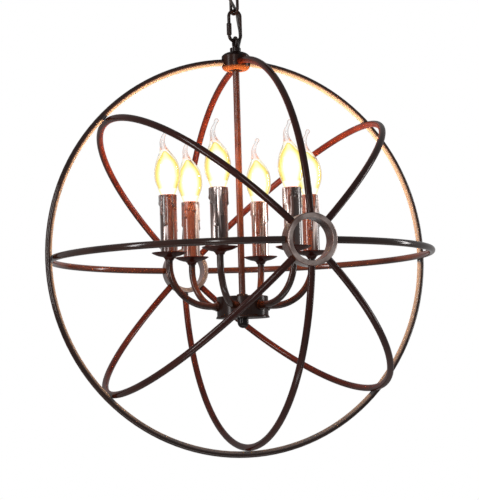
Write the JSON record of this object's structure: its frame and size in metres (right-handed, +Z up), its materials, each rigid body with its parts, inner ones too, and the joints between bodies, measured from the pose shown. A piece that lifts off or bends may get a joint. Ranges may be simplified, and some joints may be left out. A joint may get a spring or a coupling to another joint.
{
  "type": "orb chandelier",
  "caption": "Ball-shaped cage of round tube hung from a canopy by a short chain, with a stem, a turned hub and curved arms that carry candle sleeves and bent-tip bulbs.",
  "frame": {"origin": "on the ceiling, at the middle of the bracket, between its two slots", "axes": "+Z up into the ceiling, along the chain and the stem; -Y is the front, where one of the two end rings of the cage is; the outer ring stands in the XZ plane"},
  "size_m": [0.6, 0.5908, 0.813],
  "materials": {
    "dark_bronze": "dark bronze, semi-gloss",
    "candle_brown": "dark brown, glossy",
    "bulb_glass": "clear, lit warm white",
    "holder_plastic": "matt black",
    "zinc_steel": "zinc plated",
    "cord_black": "matt black"
  },
  "bodies": {
    "ceiling": {"ceiling_bracket": "zinc_steel", "bracket_nipple": "zinc_steel", "terminal_block": "holder_plastic", "canopy": "dark_bronze", "canopy_loop": "dark_bronze", "cord_grommet": "holder_plastic", "supply_cord": "cord_black"},
    "link_1": {"chain_link_1": "dark_bronze"},
    "link_2": {"chain_link_2": "dark_bronze"},
    "link_3": {"chain_link_3": "dark_bronze"},
    "quick_link": {"quick_link": "dark_bronze"},
    "quick_link_sleeve": {"quick_link_sleeve": "dark_bronze"},
    "fixture": {"fixture_loop": "dark_bronze", "crown_boss": "dark_bronze", "stem_nuts": "dark_bronze", "stem_tube": "dark_bronze", "stem_lead": "cord_black", "hub_body": "dark_bronze", "hub_cover": "dark_bronze", "finial": "dark_bronze", "wire_connectors": "holder_plastic", "outer_ring": "dark_bronze", "vertical_hoop": "dark_bronze", "front_end_ring": "dark_bronze", "back_end_ring": "dark_bronze", "horizontal_hoop": "dark_bronze", "rising_hoop": "dark_bronze", "falling_hoop": "dark_bronze", "arm_1": "dark_bronze", "drip_pan_1": "dark_bronze", "candle_sleeve_1": "candle_brown", "lampholder_1": "holder_plastic", "arm_2": "dark_bronze", "drip_pan_2": "dark_bronze", "candle_sleeve_2": "candle_brown", "lampholder_2": "holder_plastic", "arm_3": "dark_bronze", "drip_pan_3": "dark_bronze", "candle_sleeve_3": "candle_brown", "lampholder_3": "holder_plastic", "arm_4": "dark_bronze", "drip_pan_4": "dark_bronze", "candle_sleeve_4": "candle_brown", "lampholder_4": "holder_plastic", "arm_5": "dark_bronze", "drip_pan_5": "dark_bronze", "candle_sleeve_5": "candle_brown", "lampholder_5": "holder_plastic", "arm_6": "dark_bronze", "drip_pan_6": "dark_bronze", "candle_sleeve_6": "candle_brown", "lampholder_6": "holder_plastic", "arm_nuts": "zinc_steel", "lamp_leads": "cord_black"},
    "bulb_1": {"bulb_1": "bulb_glass"},
    "bulb_2": {"bulb_2": "bulb_glass"},
    "bulb_3": {"bulb_3": "bulb_glass"},
    "bulb_4": {"bulb_4": "bulb_glass"},
    "bulb_5": {"bulb_5": "bulb_glass"},
    "bulb_6": {"bulb_6": "bulb_glass"}
  },
  "joints": [
    {"name": "link_1_swing", "type": "hinge", "parent": "ceiling", "child": "link_1", "pos_m": [0, 0, -0.0515], "axis": [1, 0, 0], "range_deg": [-20, 20], "deforming": ["supply_cord"]},
    {"name": "link_2_swing", "type": "hinge", "parent": "link_1", "child": "link_2", "pos_m": [0, 0, -0.08195], "axis": [0, 1, 0], "range_deg": [-20, 20]},
    {"name": "link_3_swing", "type": "hinge", "parent": "link_2", "child": "link_3", "pos_m": [0, 0, -0.11265], "axis": [1, 0, 0], "range_deg": [-20, 20]},
    {"name": "quick_link_swing", "type": "hinge", "parent": "link_3", "child": "quick_link", "pos_m": [0, 0, -0.14335], "axis": [0.309, -0.9511, 0], "range_deg": [-20, 20]},
    {"name": "fixture_swing", "type": "hinge", "parent": "quick_link", "child": "fixture", "pos_m": [0, 0, -0.1853], "axis": [1, 0, 0], "range_deg": [-20, 20]},
    {"name": "quick_link_sleeve_slide", "type": "slide", "parent": "quick_link", "child": "quick_link_sleeve", "axis": [0, 0, 1], "range_m": [0, 0.0088]},
    {"name": "bulb_1_out", "type": "slide", "parent": "fixture", "child": "bulb_1", "axis": [0, 0, 1], "range_m": [0, 0.03]},
    {"name": "bulb_2_out", "type": "slide", "parent": "fixture", "child": "bulb_2", "axis": [0, 0, 1], "range_m": [0, 0.03]},
    {"name": "bulb_3_out", "type": "slide", "parent": "fixture", "child": "bulb_3", "axis": [0, 0, 1], "range_m": [0, 0.03]},
    {"name": "bulb_4_out", "type": "slide", "parent": "fixture", "child": "bulb_4", "axis": [0, 0, 1], "range_m": [0, 0.03]},
    {"name": "bulb_5_out", "type": "slide", "parent": "fixture", "child": "bulb_5", "axis": [0, 0, 1], "range_m": [0, 0.03]},
    {"name": "bulb_6_out", "type": "slide", "parent": "fixture", "child": "bulb_6", "axis": [0, 0, 1], "range_m": [0, 0.03]}
  ]
}
